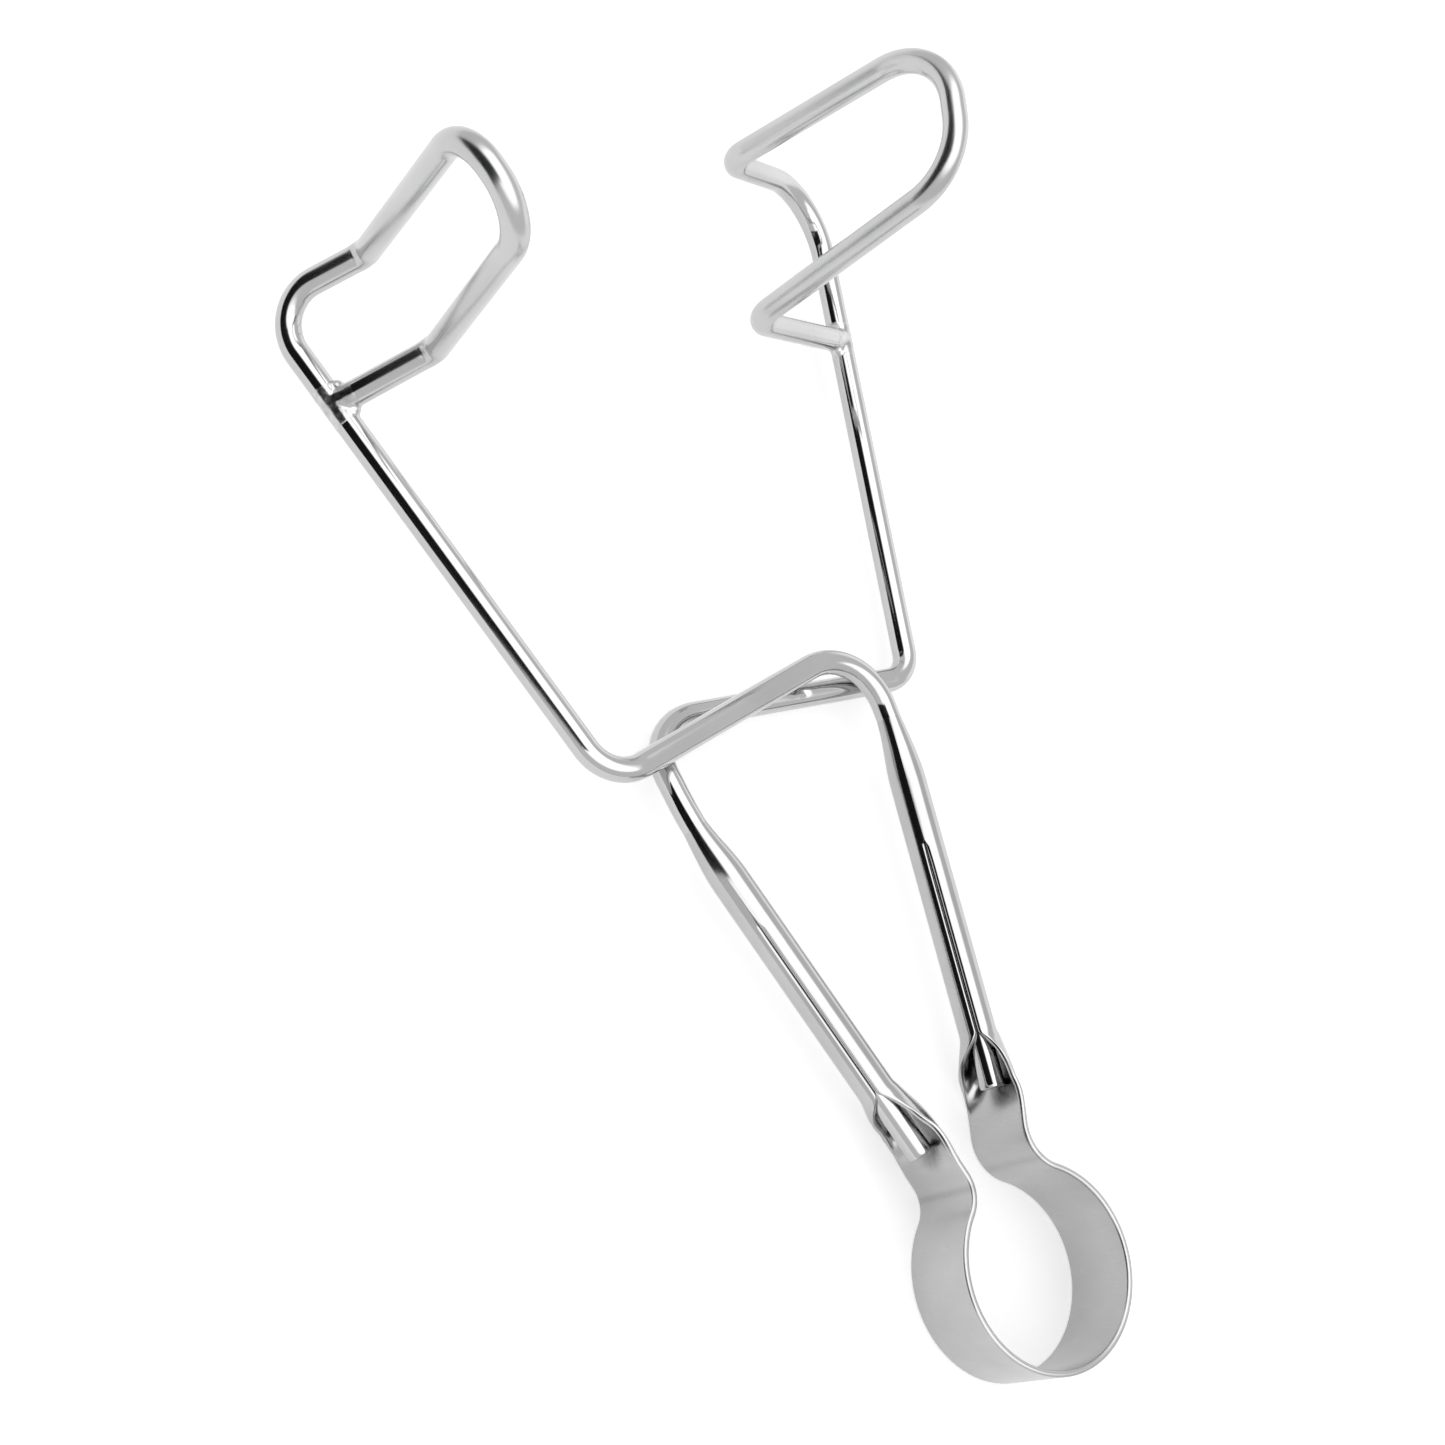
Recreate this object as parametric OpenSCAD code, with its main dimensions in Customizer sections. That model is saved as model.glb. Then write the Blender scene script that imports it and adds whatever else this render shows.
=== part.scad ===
// Lifting tongs: one sheet steel handle blank with a ring spring, and two bent wires
// that cross without a pin and end in upright loop jaws.
// The tongs lie on their back. X is across the jaws, Y runs from the ring to the jaws,
// Z is up. The ring is centred on the origin. All sizes are in millimetres.

/* [Wire] */
// Diameter of both jaw wires
wire_d = 4.8; // [3:0.1:6]
// Height of the left jaw wire above the middle plane where the two cross
over_z = 3.1; // [2.5:0.05:4]
// Depth of the right jaw wire's knee below the middle plane
under_z = 3.8; // [2.5:0.05:5]

/* [Ring spring] */
// Outside radius of the ring
ring_r = 18.7; // [14:0.1:24]
// Thickness of the sheet
sheet_t = 1.15; // [0.6:0.05:1.6]
// Width of the sheet around the ring
sheet_w = 16; // [10:0.5:24]
// Bend radius of the right neck at the middle of the sheet
right_neck_r = 8; // [2:0.1:12]
// Bend radius of the left neck at the middle of the sheet
left_neck_r = 6.5; // [2:0.1:12]
// Angle from the Y axis where the right side leaves the ring
right_neck_angle = 38.1; // [25:0.1:45]
// Angle from the Y axis where the left side leaves the ring
left_neck_angle = 36; // [25:0.1:45]

/* [Handles] */
// Wall left round the wire at the very top of each tube
crimp_wall = 0.3; // [0.2:0.05:1]
// Lean of each handle away from the Y axis
grip_angle = 12.4; // [8:0.1:20]
// Distance of the right tube from the Y axis at the foot of the tube
right_foot_x = 12.5; // [10:0.1:20]
// Distance of the left tube from the Y axis at the foot of the tube
left_foot_x = 12.7; // [10:0.1:20]
// Y position of the foot of both tubes
foot_y = 38; // [30:0.5:50]
// Height of both tubes above the middle plane of the ring
foot_z = 1; // [0:0.1:2]
// Length of the full round part of each tube
tube_len = 46; // [30:1:70]
// Length of the tapered crimp at the top of each tube
crimp_len = 11; // [4:0.5:20]
// Length of the open trough below each tube
trough_len = 8; // [4:0.5:12]
// How far the right jaw wire's end stands out of the foot of its tube
left_grip_wire_out = 11; // [2:0.5:14]
// How far the left jaw wire's end stands out of the foot of its tube
right_grip_wire_out = 7; // [2:0.5:14]

/* [Left jaw] */
// Loop height along the arm between its two short legs
left_loop_h = 20.9; // [14:0.1:40]
// Bend radius at the top of the left arm
left_top_r = 8.4; // [5:0.1:16]
// Bend radius at the tip of the left loop
left_tip_r = 8.6; // [5:0.1:16]

/* [Right jaw] */
// Loop height along the arm between its two short legs
right_loop_h = 35.2; // [14:0.1:40]
// Bend radius at the top of the right arm
right_top_r = 12.9; // [5:0.1:16]
// Bend radius at the tip of the right loop
right_tip_r = 13; // [5:0.1:16]

/* [Hidden] */
$fn = 96;
wire_r = wire_d / 2;
mid_r = ring_r - sheet_t / 2;
// Clearance between the wire and the sheet rolled round it
seat_gap = 0.02;
// Depth of the seat pressed into the flat strip under the end of the wire
seat_depth = 0.25;
bore_r = wire_r + seat_gap;
tube_r = bore_r + sheet_t;
// Weld bead: radius and place of its foot against the arm, radius and place of its end on the leg
weld_foot_r = 3.5;
weld_foot_at = 0.9;
weld_end_r = 2.7;
weld_end_at = 5;
bow_gap = 0.3;
// A straight length is this much thinner than a bend and runs this far into it, so that they join
step = 0.02;
overlap = 0.2;
// Length of arm that belongs to the loop above it
loop_foot = 2;
// Bend radii along the wires
shank_bend_r = 14;
right_knee_r = 12;
left_knee_r = 11;
left_hip_r = 8;
right_hip_r = 6;
apex_r = 5;

// Unit vectors up each handle, and a point on each tube's axis
up_right = [sin(grip_angle), cos(grip_angle), 0];
up_left = [-sin(grip_angle), cos(grip_angle), 0];
foot_right = [right_foot_x, foot_y, foot_z];
foot_left = [-left_foot_x, foot_y, foot_z];
tube_top = tube_len + crimp_len;
knee_run = 82.7;

// Left jaw wire, held in the right handle and crossing above
la_end = foot_right - right_grip_wire_out * up_right;
la_rise = foot_right + (tube_top + 1) * up_right;
la_knee = foot_right + knee_run * up_right + [0, 0, over_z - foot_z];
la_hip = [-38.8, 108.5, over_z];
la_top = [-61.6, 208.3, 0];
la_weld = la_top + left_loop_h * unit(la_hip - la_top);
ll_short = [14.4, -0.2, 14.6];
ll_apex_top = la_top + ll_short;
ll_apex_low = la_weld + ll_short + [-0.2, 0.4, 0];
ll_tip_top = ll_apex_top + [-5.2, -5.5, 48.2];
ll_tip_low = ll_apex_low + [-6.2, -3.5, 48.2];
la_split = split_point(la_hip, la_top, ll_apex_top, left_top_r);

// Right jaw wire, held in the left handle and crossing below
ra_end = foot_left - left_grip_wire_out * up_left;
ra_rise = foot_left + (tube_top + 1) * up_left;
ra_knee = foot_left + knee_run * up_left - [0, 0, under_z + foot_z];
ra_hip = [38.5, 108.5, -2.6];
ra_top = [69.5, 212.8, 0];
ra_weld = ra_top + right_loop_h * unit(ra_hip - ra_top);
rl_short = [-31.3, 3, 13.4];
rl_apex_top = ra_top + rl_short + [0.2, -0.8, 0.8];
rl_apex_low = ra_weld + rl_short;
rl_tip_top = rl_apex_top + [17.8, -5.7, 48];
rl_tip_low = rl_apex_low + [18.1, 1.1, 48];
ra_split = split_point(ra_hip, ra_top, rl_apex_top, right_top_r);

// Neck of the right side, and where its flat strip meets the tube's outer wall
right_neck_c = (mid_r + right_neck_r) * [sin(right_neck_angle), cos(right_neck_angle)];
right_wall = [right_foot_x, foot_y] - (trough_len - 2) * [sin(grip_angle), cos(grip_angle)]
    + (tube_r - sheet_t / 2) * [cos(grip_angle), -sin(grip_angle)];
right_lean = lean_to(right_neck_c, right_neck_r, right_wall);
// Neck of the left side, seen in the mirror so that it also lies at positive X
left_neck_c = (mid_r + left_neck_r) * [sin(left_neck_angle), cos(left_neck_angle)];
left_wall = [left_foot_x, foot_y] - (trough_len - 2) * [sin(grip_angle), cos(grip_angle)]
    - (tube_r - sheet_t / 2) * [cos(grip_angle), -sin(grip_angle)];
left_lean = lean_to(left_neck_c, left_neck_r, left_wall);

function unit(v) = v / norm(v);

// Angle from the Y axis of the line that leaves a bend on its left side and ends at p
function lean_to(c, r, p) = atan2(p.x - c.x, p.y - c.y) + asin(r / norm(p - c));

// Length taken from each leg by a bend of radius r at corner b
function setback(a, b, c, r) = r / tan(acos(unit(a - b) * unit(c - b)) / 2);

// Point on an arm where its loop begins, just below the top bend
function split_point(hip, top, apex, top_r) =
    top + (setback(hip, top, apex, top_r) + loop_foot) * unit(hip - top);

// Round bar from point a to point b
module rod(a, b, r) {
    v = b - a;
    translate(a)
        rotate([0, acos(v.z / norm(v)), atan2(v.y, v.x)])
            cylinder(h = norm(v), r = r);
}

// Round bend at corner b, between the legs to a and to c
module bend(a, b, c, bend_r, r) {
    ua = unit(a - b);
    uc = unit(c - b);
    half = acos(ua * uc) / 2;
    back = bend_r / tan(half);
    centre = b + unit(ua + uc) * bend_r / sin(half);
    x = unit(b + ua * back - centre);
    to = unit(b + uc * back - centre);
    y = unit(to - (to * x) * x);
    z = cross(x, y);
    multmatrix([
        [x.x, y.x, z.x, centre.x],
        [x.y, y.y, z.y, centre.y],
        [x.z, y.z, z.z, centre.z],
        [0, 0, 0, 1]
    ])
        rotate_extrude(angle = 180 - 2 * half)
            translate([bend_r, 0])
                circle(r = r);
}

// Bent wire through the points p, with bend radius b[i] at corner p[i], b[i] being 0 at both ends
module bent_wire(p, b, r) {
    last = len(p) - 1;
    cuts = [for (i = [0:last]) i == 0 || i == last ? 0 : setback(p[i - 1], p[i], p[i + 1], b[i])];
    in = [for (c = cuts) max(0, c - overlap)];
    for (i = [0:last - 1])
        rod(p[i] + in[i] * unit(p[i + 1] - p[i]), p[i + 1] - in[i + 1] * unit(p[i + 1] - p[i]), r - step);
    for (i = [1:last - 1])
        bend(p[i - 1], p[i], p[i + 1], b[i], r);
}

// Curved strip of sheet: middle radius r, thickness t, from angle a0 to a1 about the X axis
module ring_sector(r, t, a0, a1) {
    rotate(a0)
        rotate_extrude(angle = a1 - a0)
            translate([r - t / 2, -sheet_w / 2])
                square([t, sheet_w]);
}

// Flat ring open towards +Y, reaching half a degree into the neck at each side
module open_ring(outer_r, inner_r) {
    a = right_neck_angle - 0.5;
    b = left_neck_angle - 0.5;
    difference() {
        cylinder(h = sheet_w - 2 * step, r = outer_r, center = true);
        cylinder(h = sheet_w + 2, r = inner_r, center = true);
        linear_extrude(height = sheet_w + 2, center = true)
            polygon(2 * ring_r * [[0, 0], [sin(a), cos(a)], [0, 1], [-sin(b), cos(b)]]);
    }
}

module bow_spring() {
    color([0.72, 0.72, 0.73]) {
        open_ring(ring_r - step, ring_r - sheet_t + step);
        translate([right_neck_c.x, right_neck_c.y, 0])
            ring_sector(right_neck_r, sheet_t, 180 - right_lean, 270 - right_neck_angle);
        mirror([1, 0, 0])
            translate([left_neck_c.x, left_neck_c.y, 0])
                ring_sector(left_neck_r, sheet_t, 180 - left_lean, 270 - left_neck_angle);
    }
}

// Flat strip that leaves the bend at neck_c with the given lean and ends at the tube wall
module strip(neck_c, neck_r, lean, wall, gap) {
    start = neck_c + neck_r * [-cos(lean), sin(lean)];
    run = norm([wall.x, wall.y] - start);
    translate([start.x, start.y, 0])
        rotate(-lean)
            translate([-sheet_t / 2, gap, -sheet_w / 2])
                cube([sheet_t, run - gap, sheet_w]);
}

// Rolled tube standing on its foot at the origin and running up the Z axis, drawn thin at the top
module rolled_tube() {
    difference() {
        union() {
            cylinder(h = tube_len, r = tube_r);
            translate([0, 0, tube_len])
                cylinder(h = crimp_len, r1 = tube_r, r2 = bore_r + crimp_wall);
        }
        translate([0, 0, -1])
            cylinder(h = tube_top + 2, r = bore_r);
    }
}

// Half round trough below the foot of the tube, open towards -X
module trough() {
    translate([0, 0, -trough_len])
        rotate(-90)
            rotate_extrude(angle = 180)
                translate([bore_r, 0])
                    square([sheet_t, trough_len]);
}

module left_grip() {
    color([0.74, 0.74, 0.75]) {
        translate(foot_left)
            rotate([-90, 0, grip_angle]) {
                rolled_tube();
                trough();
            }
        difference() {
            mirror([1, 0, 0])
                strip(left_neck_c, left_neck_r, left_lean, left_wall, 0);
            rod(ra_end - up_left, foot_left + up_left, bore_r + seat_depth);
        }
    }
}

module right_grip() {
    color([0.74, 0.74, 0.75]) {
        translate(foot_right)
            rotate([-90, 0, -grip_angle]) {
                rolled_tube();
                trough();
            }
        difference() {
            strip(right_neck_c, right_neck_r, right_lean, right_wall, bow_gap);
            rod(la_end - up_right, foot_right + up_right, bore_r + seat_depth);
        }
    }
}

module left_jaw_arm() {
    color([0.8, 0.8, 0.81])
        bent_wire(
            [la_end, la_rise, la_knee, la_hip, la_split],
            [0, shank_bend_r, right_knee_r, left_hip_r, 0],
            wire_r);
}

module left_jaw_loop() {
    color([0.8, 0.8, 0.81])
        loop_wire(la_split, la_top, ll_apex_top, ll_tip_top, ll_tip_low, ll_apex_low, la_weld,
            left_top_r, left_tip_r);
}

module right_jaw_arm() {
    color([0.8, 0.8, 0.81])
        bent_wire(
            [ra_end, ra_rise, ra_knee, ra_hip, ra_split],
            [0, shank_bend_r, left_knee_r, right_hip_r, 0],
            wire_r);
}

module right_jaw_loop() {
    color([0.8, 0.8, 0.81])
        loop_wire(ra_split, ra_top, rl_apex_top, rl_tip_top, rl_tip_low, rl_apex_low, ra_weld,
            right_top_r, right_tip_r);
}

// Wire of a loop from its foot on the arm, over the top, round the tip and back to the weld
module loop_wire(split, top, apex_top, tip_top, tip_low, apex_low, weld, top_r, tip_r) {
    finish = weld + (wire_r + 0.5) * unit(apex_low - weld);
    bent_wire(
        [split, top, apex_top, tip_top, tip_low, apex_low, finish],
        [0, top_r, apex_r, tip_r, tip_r, apex_r, 0],
        wire_r);
}

// Weld bead round the end of a short leg, shaped to the arm and to the leg
module weld_bead(hip, top, weld, apex_low) {
    leg = unit(apex_low - weld);
    turn = [0, acos(leg.z), atan2(leg.y, leg.x)];
    difference() {
        translate(weld + weld_foot_at * leg)
            rotate(turn)
                cylinder(h = weld_end_at - weld_foot_at, r1 = weld_foot_r, r2 = weld_end_r);
        rod(hip, top, wire_r + seat_gap);
        rod(weld + (wire_r + 0.45) * leg, apex_low, wire_r + seat_gap);
    }
}

module left_jaw_weld() {
    color([0.66, 0.66, 0.67])
        weld_bead(la_hip, la_top, la_weld, ll_apex_low);
}

module right_jaw_weld() {
    color([0.66, 0.66, 0.67])
        weld_bead(ra_hip, ra_top, ra_weld, rl_apex_low);
}

bow_spring();
left_grip();
right_grip();
left_jaw_arm();
left_jaw_loop();
left_jaw_weld();
right_jaw_arm();
right_jaw_loop();
right_jaw_weld();
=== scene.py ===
import math
from collections import namedtuple
from types import SimpleNamespace

import bmesh
import bpy
from mathutils import Matrix, Vector


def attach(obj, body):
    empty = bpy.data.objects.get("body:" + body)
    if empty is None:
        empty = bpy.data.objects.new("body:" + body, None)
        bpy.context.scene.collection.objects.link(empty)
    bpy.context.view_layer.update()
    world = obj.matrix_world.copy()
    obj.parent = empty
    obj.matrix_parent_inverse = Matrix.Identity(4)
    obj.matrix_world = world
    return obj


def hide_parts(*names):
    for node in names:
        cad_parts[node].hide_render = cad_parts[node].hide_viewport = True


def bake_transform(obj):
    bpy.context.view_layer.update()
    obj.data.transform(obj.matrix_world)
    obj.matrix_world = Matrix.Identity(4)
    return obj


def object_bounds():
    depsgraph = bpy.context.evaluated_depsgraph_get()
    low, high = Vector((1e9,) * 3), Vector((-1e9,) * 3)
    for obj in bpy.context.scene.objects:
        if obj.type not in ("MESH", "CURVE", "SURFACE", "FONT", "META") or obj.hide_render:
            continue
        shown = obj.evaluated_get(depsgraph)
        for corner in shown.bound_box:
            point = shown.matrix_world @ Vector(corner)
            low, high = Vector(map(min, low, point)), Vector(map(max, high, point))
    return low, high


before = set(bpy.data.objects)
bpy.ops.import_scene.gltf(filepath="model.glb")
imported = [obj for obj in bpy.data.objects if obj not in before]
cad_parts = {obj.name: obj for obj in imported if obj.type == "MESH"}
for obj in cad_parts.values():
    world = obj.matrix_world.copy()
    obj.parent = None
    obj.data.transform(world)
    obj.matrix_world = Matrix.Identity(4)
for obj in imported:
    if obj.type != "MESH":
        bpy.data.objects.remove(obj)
cad_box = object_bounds()
scene = bpy.context.scene
MM = 0.001


def v3(*c):
    return Vector(c)


def smooth(t):
    t = min(1.0, max(0.0, t))
    return t * t * (3 - 2 * t)


def lerp(a, b, t):
    return a + (b - a) * t


# ---------------------------------------------------------------- sizes, in millimetres
WIRE_R = 2.4
OVER_Z = 3.1                # how high the wire is that crosses on top
UNDER_Z = 3.8               # how low the wire is that crosses underneath
SHEET_T = 1.15
SHEET_W = 16.0
RING_MID_R = 18.125         # of the ring, to the middle of the sheet
TUBE_MID_R = 2.98           # of a rolled tube, to the middle of the sheet
SPLAY = math.radians(12.4)  # lean of each grip away from the middle
FOOT_Y = 38.0               # a grip's foot is where its tube has closed
FOOT_Z = 1.0
KNEE_AT = 82.7              # from the foot up to the corner of the knee
LEG_START = 2.7             # from the arm's centre line to the end of the wire welded to it
UP_Z = v3(0, 0, 1)


def grip_frame(sign, foot_x):
    """Where a grip stands, which way it runs and which way it spreads."""
    return {
        "sign": sign,
        "foot": v3(sign * foot_x, FOOT_Y, FOOT_Z),
        "up": v3(sign * math.sin(SPLAY), math.cos(SPLAY), 0),
        "side": v3(math.cos(SPLAY), -sign * math.sin(SPLAY), 0),
    }


# Distances run up the grip from its foot
LEFT_GRIP = SimpleNamespace(
    **grip_frame(-1, 12.7),
    neck_leaves=math.radians(36.0), neck_r=6.5, neck_lean=math.radians(11.0),
    curl_from=-15.0, curl_to=2.5,   # where the flat sheet starts to curl and where the tube is closed
    curl_pace=1.15, turns_at=0.5,   # how fast it curls, and how far on it starts to turn
    lop_most=0.7, lop_pace=2.0,     # how far the near half stays flatter, and how early
    late=2.0, bow_x=0.4, bow_z=0.2,     # how the gap between the edges moves across to the wire
    thin_from=48.0, top=62.0,       # where the tube thins out onto the wire, and where it ends
    wire_end=-11, ease_at=60, ease=18,  # the held wire's end, and where and how far it turns below its knee
)
RIGHT_GRIP = SimpleNamespace(
    **grip_frame(1, 12.5),
    neck_leaves=math.radians(38.1), neck_r=8.0, neck_lean=math.radians(21.0),
    curl_from=-14.0, curl_to=3.0,
    curl_pace=1.25, turns_at=0.42,
    lop_most=0.7, lop_pace=1.4,
    late=1.0, bow_x=0.7, bow_z=0.6,
    thin_from=52.0, top=68.0,
    wire_end=-7, ease_at=62, ease=-12,
)


def jaw(hip, top, opening, leg_top, leg_low, post_top, post_low):
    """Corners of a jaw. Its wire runs from the hip to the top, by apex and tip round the loop, and back to the weld."""
    weld_at = top + opening * (hip - top).normalized()
    apex_top, apex_low = top + leg_top, weld_at + leg_low
    return SimpleNamespace(hip=hip, top=top, weld_at=weld_at, apex_top=apex_top, apex_low=apex_low,
                           tip_top=apex_top + post_top, tip_low=apex_low + post_low)


# The right grip holds the wire that crosses on top and ends in the left jaw
LEFT_JAW = jaw(hip=v3(-38.8, 108.5, OVER_Z), top=v3(-61.6, 208.3, 0), opening=20.9,
               leg_top=v3(14.4, -0.2, 14.6), leg_low=v3(14.2, 0.2, 14.6),
               post_top=v3(-5.2, -5.5, 48.2), post_low=v3(-6.2, -3.5, 48.2))
# The left grip holds the wire that crosses underneath and ends in the right jaw
RIGHT_JAW = jaw(hip=v3(38.5, 108.5, -2.6), top=v3(69.5, 212.8, 0), opening=35.2,
                leg_top=v3(-31.1, 2.2, 14.2), leg_low=v3(-31.3, 3, 13.4),
                post_top=v3(17.8, -5.7, 48), post_low=v3(18.1, 1.1, 48))


# ---------------------------------------------------------------- meshes
def mesh_object(name, verts, faces, uvs, layers):
    mesh = bpy.data.meshes.new(name)
    mesh.from_pydata([tuple(v * MM) for v in verts], [], faces)
    mesh.validate()
    for p in mesh.polygons:
        p.use_smooth = True
    layer = mesh.uv_layers.new(name="UVMap")
    for loop in mesh.loops:
        layer.data[loop.index].uv = uvs[loop.vertex_index]
    for key, values in layers.items():
        mesh.attributes.new(key, "FLOAT", "POINT").data.foreach_set("value", values)
    mesh.update()
    return linked(name, mesh)


def linked(name, data):
    obj = bpy.data.objects.new(name, data)
    scene.collection.objects.link(obj)
    return obj


# ---------------------------------------------------------------- wires
AROUND = 36             # points round a wire
SPACING = 0.7           # between rings on a straight run, and less on a bend
FLATTENED = 0.05        # how much of its radius a bent wire loses in the plane of the bend
SPREAD = 0.035          # and gains across it
RIPPLE = 0.03           # depth of the wrinkles inside a tight bend
RIPPLE_TURN = 3.4       # radians per millimetre along them
TIGHT_R = 6.0           # a bend of this radius or less is worked at full strength
# A cut end: a small rounded shoulder, then a slightly hollow face, as (scale, how far ahead)
CUT_END = ((0.94, 0.16), (0.8, 0.24), (0.45, 0.2), (0.12, 0.12))


def wire_samples(points, bends):
    """Points along a bent wire: (place, direction, way to the bend's centre, bend strength 0 to 1)."""
    n = len(points)
    back = [0.0] * n
    for i in range(1, n - 1):
        a = (points[i - 1] - points[i]).normalized()
        c = (points[i + 1] - points[i]).normalized()
        back[i] = bends[i] / math.tan(a.angle(c) / 2)
    out = []
    for i in range(n - 1):
        d = (points[i + 1] - points[i]).normalized()
        a, b = points[i] + d * back[i], points[i + 1] - d * back[i + 1]
        last = i == n - 2
        steps = max(2, round((b - a).length / SPACING))
        for k in range(steps + (1 if last else 0)):
            out.append((a.lerp(b, k / steps), d.copy(), v3(0, 0, 0), 0.0))
        if last:
            break
        ua = (points[i] - points[i + 1]).normalized()
        uc = (points[i + 2] - points[i + 1]).normalized()
        half = ua.angle(uc) / 2
        r = bends[i + 1]
        centre = points[i + 1] + (ua + uc).normalized() * (r / math.sin(half))
        x = (b - centre).normalized()
        z = x.cross(d).normalized()
        turn = math.pi - 2 * half
        steps = max(6, round(turn * r / (SPACING * 0.6)))
        for k in range(steps):
            t = k / steps
            q = Matrix.Rotation(turn * t, 3, z)
            strength = math.sin(math.pi * t) ** 0.6 * min(1.0, TIGHT_R / r)
            out.append((centre + q @ (x * r), q @ d, -(q @ x), strength))
    return out


def place_along(path, run):
    """Place on a sampled wire at this distance from its end."""
    for (a, *_), (b, *_) in zip(path, path[1:]):
        gap = (b - a).length
        if run <= gap:
            return a.lerp(b, run / gap)
        run -= gap
    return path[-1][0]


def bent_wire(name, samples, marks=()):
    """A swept round wire. Bends are slightly flattened, tight ones wrinkle on the inside, and both ends are cut.
    A mark is a shallow dent: (place, size, depth)."""
    run = 0.0
    last_p, last_t = samples[0][0], samples[0][1]
    normal = last_t.orthogonal().normalized()
    rows, uvs, worn, dull = [], [], [], []
    for p, t, inward, s in samples:
        run += (p - last_p).length
        normal = last_t.rotation_difference(t) @ normal
        normal = (normal - t * normal.dot(t)).normalized()
        last_p, last_t = p, t
        side = t.cross(normal)
        row = []
        for k in range(AROUND):
            a = 2 * math.pi * k / AROUND
            o = (normal * math.cos(a) + side * math.sin(a)) * WIRE_R
            if s > 0:
                c = o.dot(inward)
                o = o - inward * c * FLATTENED * s
                o = o + (o - inward * o.dot(inward)) * SPREAD * s
                if c > 0:
                    wrinkle = RIPPLE * s * (c / WIRE_R) ** 3
                    o = o + inward * wrinkle * math.sin(run * RIPPLE_TURN)
            for at, size, depth in marks:
                gap = (p + o - at).length
                if gap < size * 3:
                    o = o - o.normalized() * depth * math.exp(-(gap / size) ** 2)
            row.append(p + o)
            uvs.append((run, k / AROUND))
        rows.append(row)
        worn.extend([s] * AROUND)
        # Only the loops, which stand up beyond the hips, are less polished than the arms
        dull.extend([smooth((p.z - 1.5) / 9 if p.y > 120 else 0)] * AROUND)

    # The start is as bright as the arm, and the far end as dull as the loop
    for end, way, run_at, dulled in ((0, -1, 0.0, 0.0), (-1, 1, run, 1.0)):
        tip, t = samples[end][0], samples[end][1]
        extra = [[tip + (q - tip) * scale + t * way * ahead for q in rows[end]] for scale, ahead in CUT_END]
        count = len(extra) * AROUND
        extra_uvs = [(run_at, k / AROUND) for k in range(AROUND)] * len(extra)
        if end == 0:
            rows = extra[::-1] + rows
            uvs, worn, dull = extra_uvs + uvs, [1.0] * count + worn, [dulled] * count + dull
        else:
            rows = rows + extra
            uvs, worn, dull = uvs + extra_uvs, worn + [1.0] * count, dull + [dulled] * count
    verts = [q for row in rows for q in row]
    faces = []
    for i in range(len(rows) - 1):
        for k in range(AROUND):
            m = (k + 1) % AROUND
            faces.append((i * AROUND + k, i * AROUND + m, (i + 1) * AROUND + m, (i + 1) * AROUND + k))
    faces.append(tuple(reversed(range(AROUND))))
    faces.append(tuple((len(rows) - 1) * AROUND + k for k in range(AROUND)))
    return mesh_object(name, verts, faces, uvs, {"worn": worn, "dull": dull})


# ---------------------------------------------------------------- sheet
ACROSS = 44             # strips across the sheet
EDGE_POINTS = 3         # extra points round each of its edges
FULL_CURL = math.radians(174)   # half the angle that the sheet is rolled through as the tube closes
FULL_TURN = math.radians(50)    # turn of the seam away from straight up
SEAM = (0.45, 0.03)     # gap at the seam low down, and higher up, where it has closed
SEAM_CLOSES = 34        # how far up the grip it starts to close
TUBE_END_R = WIRE_R - 0.12      # the tube's end sinks into the wire
TUBE_END_T = 0.04
NECK_STEPS = 18
RING_STEPS = 120
NECK_SCUFF_AND_SHADE_AT = (v3(-8.1, 18.5, 0), v3(8.6, 17.4, 0))     # scuffed lines across the necks, darkened also as painted shade in the folds
NECK_SCUFF_AND_SHADE_R = 0.7
PAINTED_END_SHADOW_R = 3.4          # painted shadow round the ends of the wires, where the sheet lies in their shade and mirrors their dark cut ends

# One cut through the sheet, square to its run. (x0, z0) is halfway between its edges, theta half the angle it is
# rolled through, beta the turn of its opening, lop how much flatter its near half is, square how little its edges
# are rounded, and rolled how far it is from flat sheet (0) to closed tube (1).
Section = namedtuple("Section", "origin side x0 z0 width theta beta lop thick square rolled")


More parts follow.
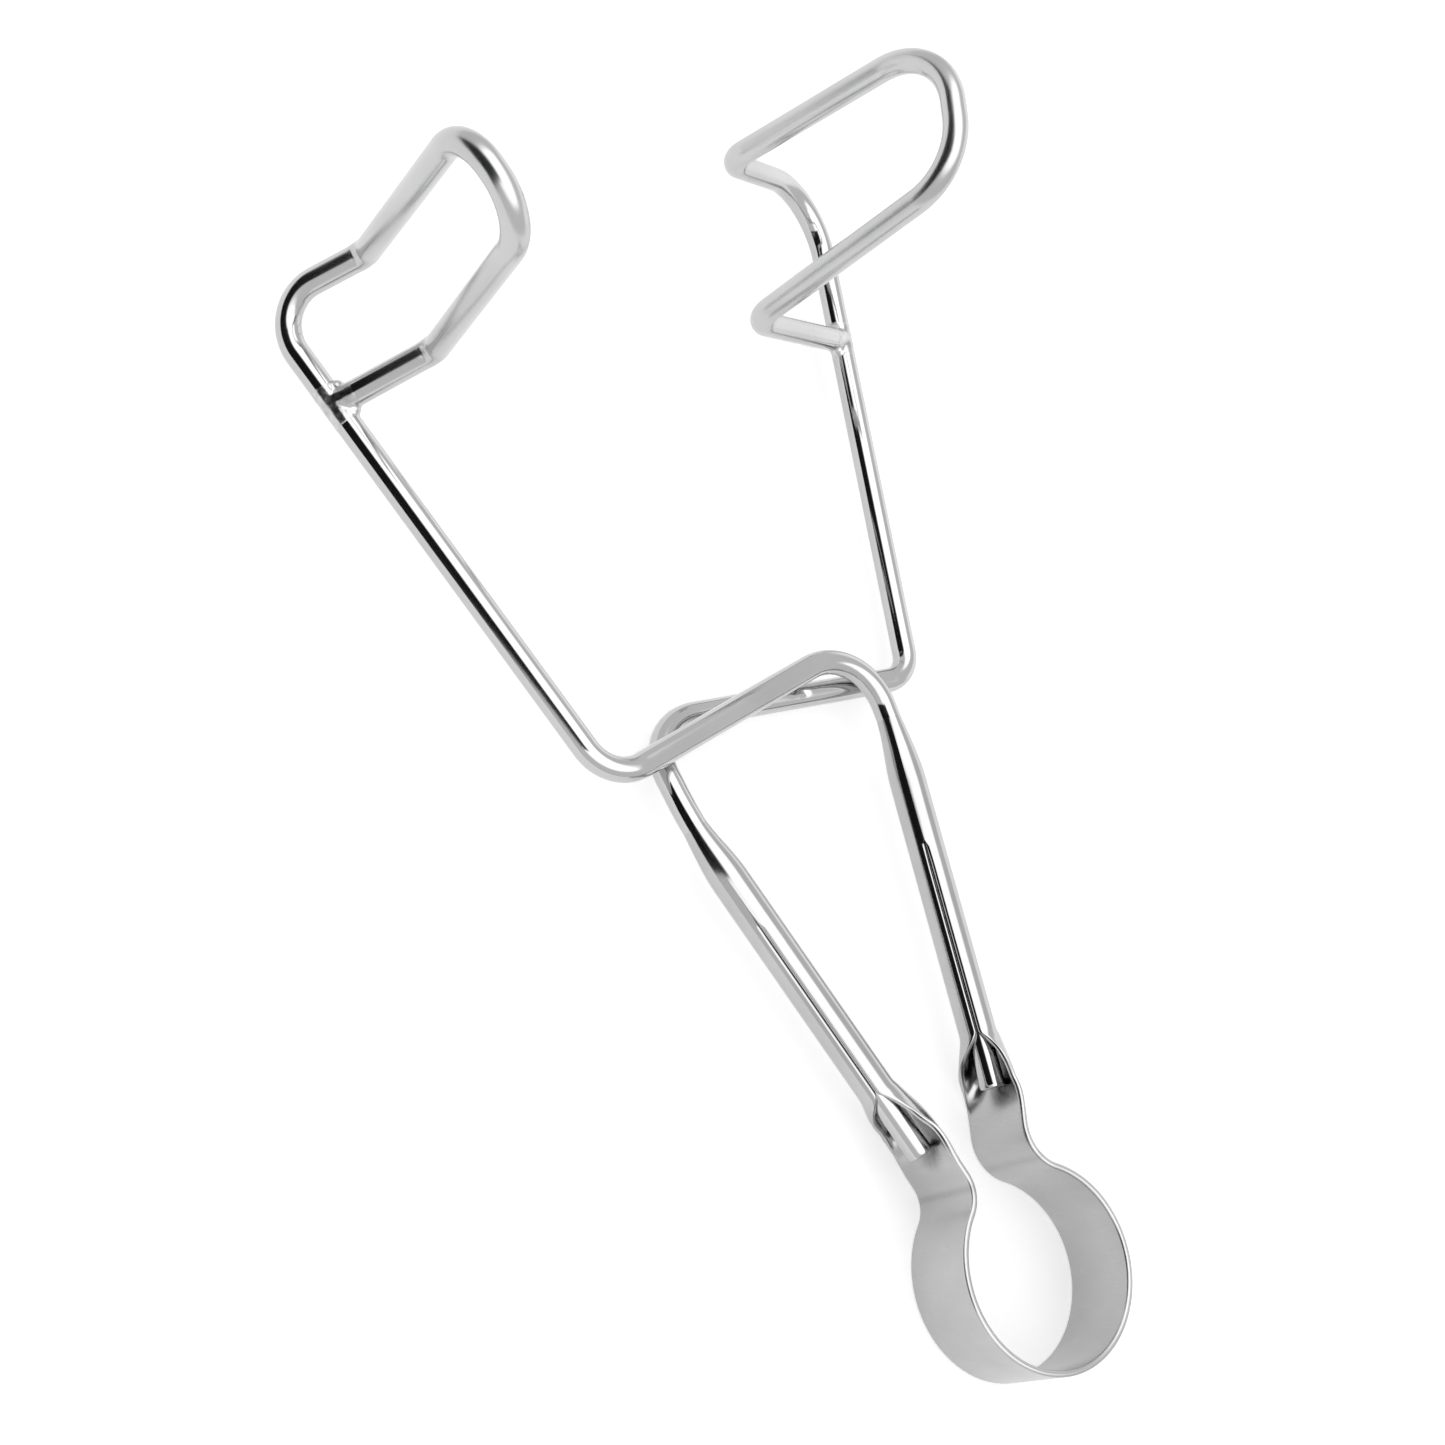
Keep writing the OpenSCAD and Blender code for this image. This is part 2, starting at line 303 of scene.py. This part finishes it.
def outline(s):
    """Outline of a section: rows of (place, v), v running from the far to the near edge."""
    half = s.width / 2
    pull = half * lerp(0.975, 1.0, s.square)
    bulge = abs(s.thick) * (1 - s.square)
    steps = ACROSS // 2

    def angle(v):
        x = v / half
        return s.theta * (x - s.lop * x * x / 2)

    inward = v3(-math.cos(s.beta), 0, math.sin(s.beta))
    near = v3(math.sin(s.beta), 0, math.cos(s.beta))
    flank = {}
    for sign in (1, -1):
        p = v3(0, 0, 0)
        flank[(sign, 0)] = p.copy()
        for k in range(steps):
            a = angle(sign * pull * (k + 0.5) / steps)
            p = p + (near * math.cos(a) + inward * math.sin(a)) * (sign * pull / steps)
            flank[(sign, k + 1)] = p.copy()
    middle = (flank[(1, steps)] + flank[(-1, steps)]) / 2
    row = []
    for k in range(-steps, steps + 1):
        q = flank[(1 if k >= 0 else -1, abs(k))] - middle
        v = pull * k / steps
        a = angle(v)
        row.append((q, v, inward * math.cos(a) - near * math.sin(a), near * math.cos(a) + inward * math.sin(a)))
    h = s.thick / 2
    edge = [(q + n * h, v) for q, v, n, _ in row]
    q, _, n, t = row[-1]
    for lift, push in ((0.8, 0.2), (0, 0.3), (-0.8, 0.2)):
        edge.append((q + n * h * lift + t * push * bulge, half))
    edge.extend((q - n * h, v) for q, v, n, _ in reversed(row))
    q, _, n, t = row[0]
    for lift, push in ((-0.8, 0.2), (0, 0.3), (0.8, 0.2)):
        edge.append((q + n * h * lift - t * push * bulge, -half))
    return [(s.origin + s.side * (q.x + s.x0) + UP_Z * (q.z + s.z0), v) for q, v in edge]


def flat_section(place, face):
    """A flat section, seen as one whose side points away from the way the sheet faces."""
    return Section(place, -face, 0, 0, SHEET_W, 0.0, 0.0, 0.0, SHEET_T, 0.0, 0.0)


def neck_centre(grip):
    reach = RING_MID_R + grip.neck_r
    return reach * math.sin(grip.neck_leaves), reach * math.cos(grip.neck_leaves)


def neck_sections(grip):
    """Sections round a neck, down to the ring on the left and up from it on the right."""
    cx, cy = neck_centre(grip)
    start, end = math.pi - grip.neck_lean, math.pi * 1.5 - grip.neck_leaves
    if grip.sign > 0:
        start, end = end, start
    out = []
    for k in range(1, NECK_STEPS):
        t = lerp(start, end, k / NECK_STEPS)
        place = v3(grip.sign * (cx + grip.neck_r * math.cos(t)), cy + grip.neck_r * math.sin(t), 0)
        out.append(flat_section(place, (v3(grip.sign * cx, cy, 0) - place).normalized()))
    return out


def ring_sections():
    start, end = math.pi / 2 + LEFT_GRIP.neck_leaves, math.pi * 2.5 - RIGHT_GRIP.neck_leaves
    out = []
    for k in range(RING_STEPS + 1):
        t = lerp(start, end, k / RING_STEPS)
        face = v3(math.cos(t), math.sin(t), 0)
        out.append(flat_section(face * RING_MID_R, face))
    return out


def grip_sections(grip, held):
    """Sections from the top of a neck up to the top of the tube, rolled round the wire that it holds."""
    cx, cy = neck_centre(grip)
    lean = grip.neck_lean
    start = v3(grip.sign * (cx - grip.neck_r * math.cos(lean)), cy + grip.neck_r * math.sin(lean), 0)
    s0 = (start - grip.foot).dot(grip.up)
    d0 = (start - grip.foot).dot(grip.side)
    drift = math.tan(lean - SPLAY) * grip.sign
    out = []
    s = s0
    while s <= grip.top:
        u = min(1.0, max(0.0, (s - grip.curl_from) / (grip.curl_to - grip.curl_from)))
        thin = smooth((s - grip.thin_from) / (grip.top - grip.thin_from))
        mid_r = lerp(TUBE_MID_R, TUBE_END_R, thin)
        thick = lerp(SHEET_T, TUBE_END_T, thin)
        full = 2 * math.pi * mid_r - lerp(*SEAM, smooth((s - SEAM_CLOSES) / 12))
        theta = FULL_CURL * u ** grip.curl_pace if u < 1 else full / 2 / mid_r
        beta = FULL_TURN * smooth((u - grip.turns_at) / (1 - grip.turns_at))
        hump = math.sin(math.pi * u)
        # The gap between the edges goes from the flat sheet's middle to the mouth of the tube
        go = smooth(u ** grip.late)
        flat_x = d0 + drift * (min(s, grip.curl_from) - s0)
        mouth = mid_r * math.cos(full / 2 / mid_r)
        out.append(Section(
            # Near its end the tube follows the wire into the knee
            origin=place_along(held, s - grip.wire_end) if s > grip.thin_from - 4 else grip.foot + grip.up * s,
            side=grip.side,
            x0=lerp(flat_x, mouth * math.cos(beta), go) + grip.bow_x * hump,
            z0=lerp(-FOOT_Z, -mouth * math.sin(beta), go) + grip.bow_z * hump,
            width=lerp(SHEET_W, full, smooth(u)),
            theta=theta,
            beta=beta,
            lop=grip.lop_most * max(0.0, hump) ** grip.lop_pace,
            thick=-grip.sign * thick,
            square=smooth((s - SEAM_CLOSES) / 8),
            rolled=u,
        ))
        if s < grip.curl_to + 2:
            s += 0.45
        else:
            s += 1.4 if s < grip.thin_from - 2 else 0.8
    return out


def handle_blank(name, left_path, right_path):
    """The sheet, from the top of the left tube, down it, round the ring and up to the top of the right tube."""
    rows = grip_sections(LEFT_GRIP, right_path)[::-1] + neck_sections(LEFT_GRIP) + ring_sections()
    rows += neck_sections(RIGHT_GRIP) + grip_sections(RIGHT_GRIP, left_path)
    wire_ends = (left_path[0][0], right_path[0][0])
    verts, uvs, flat, neck_scuff_and_shade, painted_end_shadow = [], [], [], [], []
    run = 0.0
    last = None
    for row in rows:
        points = outline(row)
        middle = points[ACROSS // 2][0]
        run += (middle - last).length if last else 0.0
        last = middle
        gap = min((middle - c).length for c in NECK_SCUFF_AND_SHADE_AT)
        for p, v in points:
            verts.append(p)
            uvs.append((run, v))
            flat.append(1.0 - row.rolled)
            # Partly painted shade: the sheet is marked across each neck crease, as a scuff and as the shade in the fold
            neck_scuff_and_shade.append(math.exp(-(gap / NECK_SCUFF_AND_SHADE_R) ** 2))
            # Painted shadow: a dark mask round each wire's end, for its shade and its dark cut end mirrored in the
            # sheet
            painted_end_shadow.append(max(math.exp(-((p - e).length / PAINTED_END_SHADOW_R) ** 4) for e in wire_ends))
    size = len(verts) // len(rows)
    faces = []
    for i in range(len(rows) - 1):
        for k in range(size):
            m = (k + 1) % size
            faces.append((i * size + k, (i + 1) * size + k, (i + 1) * size + m, i * size + m))
    # The ends are closed as strips across the thickness, so that the tube stays open
    back = ACROSS + EDGE_POINTS + 1
    near_edge = tuple(range(ACROSS, back + 1))
    far_edge = (size - 3, size - 2, size - 1, 0, size - 4)
    for base, flip in ((0, False), ((len(rows) - 1) * size, True)):
        strips = [(k, k + 1, back + ACROSS - 1 - k, back + ACROSS - k) for k in range(ACROSS)]
        for strip in strips + [near_edge, far_edge]:
            ids = tuple(base + t for t in strip)
            faces.append(ids[::-1] if flip else ids)
    obj = mesh_object(name, verts, faces, uvs, {"flat": flat, "neck_scuff_and_shade": neck_scuff_and_shade, "painted_end_shadow": painted_end_shadow})
    # Where the seam has closed its corners are crisp, so that the surface runs over it unbroken
    corners = (0, ACROSS, back, back + ACROSS)
    seam = {i * size + k for i, row in enumerate(rows) if row.square > 0.5 for k in corners}
    for edge in obj.data.edges:
        a, b = edge.vertices
        if a in seam and b in seam and abs(a - b) == size:
            edge.use_edge_sharp = True
    return obj


# ---------------------------------------------------------------- welds
SLEEVE_R = WIRE_R + 0.04    # the bead's film over both wires
BALLS = 9


def weld(name, at):
    """A weld bead: balls and stubs melted together by a fine remesh, then eased."""
    bm = bmesh.new()
    leg = (at.apex_low - at.weld_at).normalized()
    along = (at.hip - at.top).normalized()

    def ball(up_leg, up_arm, r):
        p = at.weld_at + leg * up_leg + along * up_arm
        bmesh.ops.create_icosphere(bm, subdivisions=3, radius=r * MM, matrix=Matrix.Translation(p * MM))

    def bar(way, start, end):
        a, b = at.weld_at + way * start, at.weld_at + way * end
        d = b - a
        turn = d.to_track_quat("Z", "Y").to_matrix().to_4x4()
        bmesh.ops.create_cone(bm, cap_ends=True, segments=32, radius1=SLEEVE_R * MM, radius2=SLEEVE_R * MM,
                              depth=d.length * MM, matrix=Matrix.Translation((a + b) / 2 * MM) @ turn)

    bar(along, -3.6, 4.4)
    bar(leg, 1.0, 4.8)
    for k in range(BALLS):
        t = k / (BALLS - 1)
        ball(lerp(2.1, 1.4, t), lerp(-2.3, 3.0, t), lerp(1.5, 1.7, math.sin(math.pi * t)))
    ball(2.2, 2.2, 1.5)
    ball(2.5, -1.2, 1.5)
    mesh = bpy.data.meshes.new(name)
    bm.to_mesh(mesh)
    bm.free()
    obj = linked(name, mesh)
    remesh = obj.modifiers.new("melt", "REMESH")
    remesh.mode = "VOXEL"
    remesh.voxel_size = 0.2 * MM
    ease = obj.modifiers.new("ease", "SMOOTH")
    ease.iterations = 12
    ease.factor = 0.5
    bpy.context.view_layer.update()
    made = bpy.data.meshes.new_from_object(obj.evaluated_get(bpy.context.evaluated_depsgraph_get()))
    obj.modifiers.clear()
    obj.data = made
    for p in made.polygons:
        p.use_smooth = True
    return obj


# ---------------------------------------------------------------- materials
def new_material(name, metallic=1.0):
    m = bpy.data.materials.new(name)
    m.use_nodes = True
    shader = m.node_tree.nodes["Principled BSDF"]
    shader.inputs["Metallic"].default_value = metallic
    return m, m.node_tree, shader


def node(nt, kind, **values):
    n = nt.nodes.new(kind)
    for k, v in values.items():
        setattr(n, k, v)
    return n


def feed(nt, socket, x):
    """Link an output to this input, or set it to a value."""
    if isinstance(x, (int, float, tuple)):
        socket.default_value = x
    else:
        nt.links.new(x, socket)


def grey(v, blue=None):
    return (v, v, v if blue is None else blue, 1)


def ramp(nt, source, a, b, ca, cb):
    r = node(nt, "ShaderNodeValToRGB")
    for stop, position, value in zip(r.color_ramp.elements, (a, b), (ca, cb)):
        stop.position = position
        stop.color = grey(value, value * 1.005)
    nt.links.new(source, r.inputs[0])
    return r.outputs[0]


def noise(nt, vector, scale, detail):
    n = node(nt, "ShaderNodeTexNoise")
    n.inputs["Scale"].default_value = scale
    n.inputs["Detail"].default_value = detail
    nt.links.new(vector, n.inputs["Vector"])
    return n.outputs["Fac"]


def drawn_noise(nt, along, across):
    """Noise stretched along the wire or across the sheet, from the piece's own UVs."""
    uv = node(nt, "ShaderNodeUVMap", uv_map="UVMap")
    stretch = node(nt, "ShaderNodeMapping")
    stretch.inputs["Scale"].default_value = (along, across, 1)
    nt.links.new(uv.outputs[0], stretch.inputs["Vector"])
    return noise(nt, stretch.outputs[0], 1.0, 6.0)


def space_noise(nt, scale, detail=4.0):
    return noise(nt, node(nt, "ShaderNodeTexCoord").outputs["Object"], scale, detail)


def math_node(nt, op, a, b):
    n = node(nt, "ShaderNodeMath", operation=op)
    feed(nt, n.inputs[0], a)
    feed(nt, n.inputs[1], b)
    return n.outputs[0]


def times(nt, a, b):
    return math_node(nt, "MULTIPLY", a, b)


def plus(nt, a, b):
    return math_node(nt, "ADD", a, b)


def mix_colour(nt, fac, a, b):
    n = node(nt, "ShaderNodeMix", data_type="RGBA")
    for i, x in ((0, fac), (6, a), (7, b)):     # the mix node's factor, and its two colours
        feed(nt, n.inputs[i], x)
    return n.outputs[2]


def attribute(nt, name):
    return node(nt, "ShaderNodeAttribute", attribute_name=name).outputs["Fac"]


def bump(nt, shader, height, strength, distance=0.0002):
    b = node(nt, "ShaderNodeBump")
    b.inputs["Strength"].default_value = strength
    b.inputs["Distance"].default_value = distance
    nt.links.new(height, b.inputs["Height"])
    nt.links.new(b.outputs[0], shader.inputs["Normal"])


def polished_wire():
    m, nt, s = new_material("polished_wire")
    worn = attribute(nt, "worn")
    lines = drawn_noise(nt, 0.05, 60)
    tone = ramp(nt, space_noise(nt, 60), 0.3, 0.7, 0.50, 0.56)
    tone = mix_colour(nt, times(nt, lines, 0.25), tone, grey(0.42, 0.425))
    tone = mix_colour(nt, times(nt, worn, 0.25), tone, grey(0.44))
    nt.links.new(tone, s.inputs["Base Color"])
    rough = plus(nt, times(nt, lines, 0.08), 0.05)
    rough = plus(nt, rough, times(nt, worn, 0.05))
    # The loops are satin, less polished than the arms
    rough = plus(nt, rough, times(nt, attribute(nt, "dull"), 0.13))
    nt.links.new(rough, s.inputs["Roughness"])
    bump(nt, s, plus(nt, times(nt, lines, 0.4), space_noise(nt, 240)), 0.05)
    return m


def rolled_sheet():
    m, nt, s = new_material("rolled_sheet")
    grain = drawn_noise(nt, 7.0, 0.12)
    cloud = space_noise(nt, 90, 5)
    tone = ramp(nt, cloud, 0.3, 0.72, 0.45, 0.51)
    tone = mix_colour(nt, times(nt, grain, 0.2), tone, grey(0.38, 0.385))
    # Partly painted shade: a dark rough line across each neck crease, standing for a scuff and for the shade in the
    # fold
    neck_scuff_and_shade = times(nt, attribute(nt, "neck_scuff_and_shade"), plus(nt, drawn_noise(nt, 3.0, 0.35), 0.2))
    tone = mix_colour(nt, neck_scuff_and_shade, tone, grey(0.2))
    # Painted shadow: the sheet goes nearly black round the wires' ends, for their shade and their dark cut ends
    # mirrored in it
    painted_end_shadow_mix = times(nt, attribute(nt, "painted_end_shadow"), plus(nt, times(nt, space_noise(nt, 700, 3), 0.9), 0.25))
    tone = mix_colour(nt, painted_end_shadow_mix, tone, grey(0.05))
    nt.links.new(tone, s.inputs["Base Color"])
    # The flat sheet is duller than the rolled tubes
    rough = plus(nt, times(nt, attribute(nt, "flat"), 0.16), 0.09)
    rough = plus(nt, rough, times(nt, grain, 0.07))
    nt.links.new(rough, s.inputs["Roughness"])
    bump(nt, s, plus(nt, times(nt, grain, 0.5), cloud), 0.06)
    return m


def weld_metal():
    m, nt, s = new_material("weld_metal")
    nt.links.new(ramp(nt, space_noise(nt, 500, 5), 0.3, 0.7, 0.42, 0.64), s.inputs["Base Color"])
    nt.links.new(ramp(nt, space_noise(nt, 700, 3), 0.3, 0.7, 0.12, 0.3), s.inputs["Roughness"])
    bump(nt, s, space_noise(nt, 420, 3), 0.35, 0.0004)
    return m


def pale_floor():
    m, nt, s = new_material("pale_floor", metallic=0.0)
    nt.links.new(ramp(nt, space_noise(nt, 3), 0.3, 0.7, 0.86, 0.88), s.inputs["Base Color"])
    s.inputs["Roughness"].default_value = 0.9
    s.inputs["Specular IOR Level"].default_value = 0.1
    # A little light of its own keeps the shadows faint
    s.inputs["Emission Color"].default_value = (1, 1, 1, 1)
    s.inputs["Emission Strength"].default_value = 0.42
    return m


WIRE, SHEET, WELD = polished_wire(), rolled_sheet(), weld_metal()


# ---------------------------------------------------------------- the pieces
def knee(grip, z, hip):
    """Two corners of a knee: a slight one where the wire starts to turn, and the sharp one on the line to the hip."""
    corner = grip.foot + KNEE_AT * grip.up
    first = grip.foot + grip.ease_at * grip.up
    lean = math.atan2(grip.up.x, grip.up.y) + math.radians(grip.ease)
    way = Vector((math.sin(lean), math.cos(lean)))
    line = Vector((hip.x - corner.x, hip.y - corner.y))
    gap = Vector((corner.x - first.x, corner.y - first.y))
    t = (gap.x * line.y - gap.y * line.x) / (way.x * line.y - way.y * line.x)
    return first, v3(first.x + way.x * t, first.y + way.y * t, z)


def jaw_route(grip, z, at, bends):
    """Samples of a jaw's wire, from its end in the grip, over the knee and round the loop to the weld.
    The bends are the radii at its corners, from the knee's two on."""
    points = [
        grip.foot + grip.wire_end * grip.up, *knee(grip, z, at.hip), at.hip, at.top,
        at.apex_top, at.tip_top, at.tip_low, at.apex_low,
        at.weld_at + LEG_START * (at.apex_low - at.weld_at).normalized(),
    ]
    return wire_samples(points, [0, *bends, 0])


left_path = jaw_route(RIGHT_GRIP, OVER_Z, LEFT_JAW, (40, 12, 8, 8.4, 5, 8.6, 8.6, 5))
right_path = jaw_route(LEFT_GRIP, -UNDER_Z, RIGHT_JAW, (28, 11, 6, 12.9, 5, 13, 13, 5))
left_wire = bent_wire("left_jaw_wire", left_path)
right_wire = bent_wire("right_jaw_wire", right_path,
                       marks=[(v3(9.5, 113.5, -0.4), 0.9, 0.45), (v3(11.5, 112.6, -0.6), 0.7, 0.35)])
blank = handle_blank("handle_blank", left_path, right_path)
left_weld = weld("left_weld", LEFT_JAW)
right_weld = weld("right_weld", RIGHT_JAW)

for obj, material, slot in ((left_wire, WIRE, "wire"), (right_wire, WIRE, "wire"), (blank, SHEET, "sheet"),
                            (left_weld, WELD, "weld"), (right_weld, WELD, "weld")):
    obj.data.materials.clear()
    obj.data.materials.append(material)

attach(left_wire, "right_grip_half")
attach(left_weld, "right_grip_half")
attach(right_wire, "left_grip_half")
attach(right_weld, "left_grip_half")
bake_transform(blank)
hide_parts("left_jaw_arm", "left_jaw_loop")
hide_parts("right_jaw_arm", "right_jaw_loop")
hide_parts("bow_spring", "left_grip", "right_grip")
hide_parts("left_jaw_weld")
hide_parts("right_jaw_weld")

# ---------------------------------------------------------------- floor, lights, camera; in metres from here on
FLOOR_DROP = 0.0002     # keeps the floor just clear of the ring's lower edge
floor_z = cad_box[0][2]
bpy.ops.mesh.primitive_plane_add(size=8, location=(0, 0.1, floor_z - FLOOR_DROP))
floor = bpy.context.object
floor.name = "floor"
floor.data.materials.append(pale_floor())


def studio_world():
    """Light from all round, by direction: a pale room with an overhead softbox and a black flag."""
    world = bpy.data.worlds.new("studio")
    world.use_nodes = True
    nt = world.node_tree
    nt.nodes.clear()
    out = node(nt, "ShaderNodeOutputWorld")
    back = node(nt, "ShaderNodeBackground")
    split = node(nt, "ShaderNodeSeparateXYZ")
    nt.links.new(node(nt, "ShaderNodeTexCoord").outputs["Generated"], split.inputs[0])
    x, y, z = split.outputs

    def band(source, start, full):
        """0 before start, 1 past full, eased between."""
        r = node(nt, "ShaderNodeMapRange", interpolation_type="SMOOTHSTEP")
        r.inputs["From Min"].default_value, r.inputs["From Max"].default_value = start, full
        nt.links.new(source, r.inputs["Value"])
        return r.outputs[0]

    # The room is brighter low down at the right
    low_right = times(nt, band(x, 0.72, 0.88), band(z, 0.5, 0.3))
    shade = mix_colour(nt, low_right, grey(0.85), grey(1.4))
    # The softbox is wide and white
    above = times(nt, band(x, 0.55, 0.4), band(z, 0.6, 0.78))
    shade = mix_colour(nt, above, shade, grey(2.0))
    # The flag stands along the left side
    flag = times(nt, band(x, -0.36, -0.52), band(y, -0.145, -0.095))
    shade = mix_colour(nt, flag, shade, grey(0.012))
    # Matt surfaces and the open background see plain light
    seen = node(nt, "ShaderNodeLightPath")
    shade = mix_colour(nt, seen.outputs["Is Diffuse Ray"], shade, grey(0.8))
    shade = mix_colour(nt, seen.outputs["Is Camera Ray"], shade, grey(0.95))
    nt.links.new(shade, back.inputs["Color"])
    back.inputs["Strength"].default_value = 1.0
    nt.links.new(back.outputs[0], out.inputs[0])
    return world


scene.world = studio_world()


def softbox(name, place, target, size, power):
    light = bpy.data.lights.new(name, "AREA")
    light.shape = "RECTANGLE"
    light.size, light.size_y = size
    light.energy = power
    obj = linked(name, light)
    obj.location = place
    obj.rotation_euler = (Vector(target) - Vector(place)).to_track_quat("-Z", "Y").to_euler()


softbox("overhead", (0.1, 0.1, 1.0), (0.1, 0.1, 0), (1.0, 1.8), 1.2)

# The camera stands high on the left of the tongs and looks down across them, rolled so that they lie aslant
CAMERA_PLACE = v3(-0.22502, 0.0692, 0.29807)
CAMERA_FORWARD = v3(0.58207, 0.11632, -0.80478).normalized()
CAMERA_RIGHT = v3(0.76443, -0.41569, 0.4928)
cam = bpy.data.cameras.new("camera")
cam.sensor_width = 36
cam.lens = 50.3
cam.clip_start = 0.01
camera = linked("camera", cam)
right = (CAMERA_RIGHT - CAMERA_FORWARD * CAMERA_RIGHT.dot(CAMERA_FORWARD)).normalized()
up = right.cross(CAMERA_FORWARD)
turn = Matrix((right, up, -CAMERA_FORWARD)).transposed().to_4x4()
camera.matrix_world = Matrix.Translation(CAMERA_PLACE) @ turn
scene.camera = camera
scene.view_settings.view_transform = "Standard"
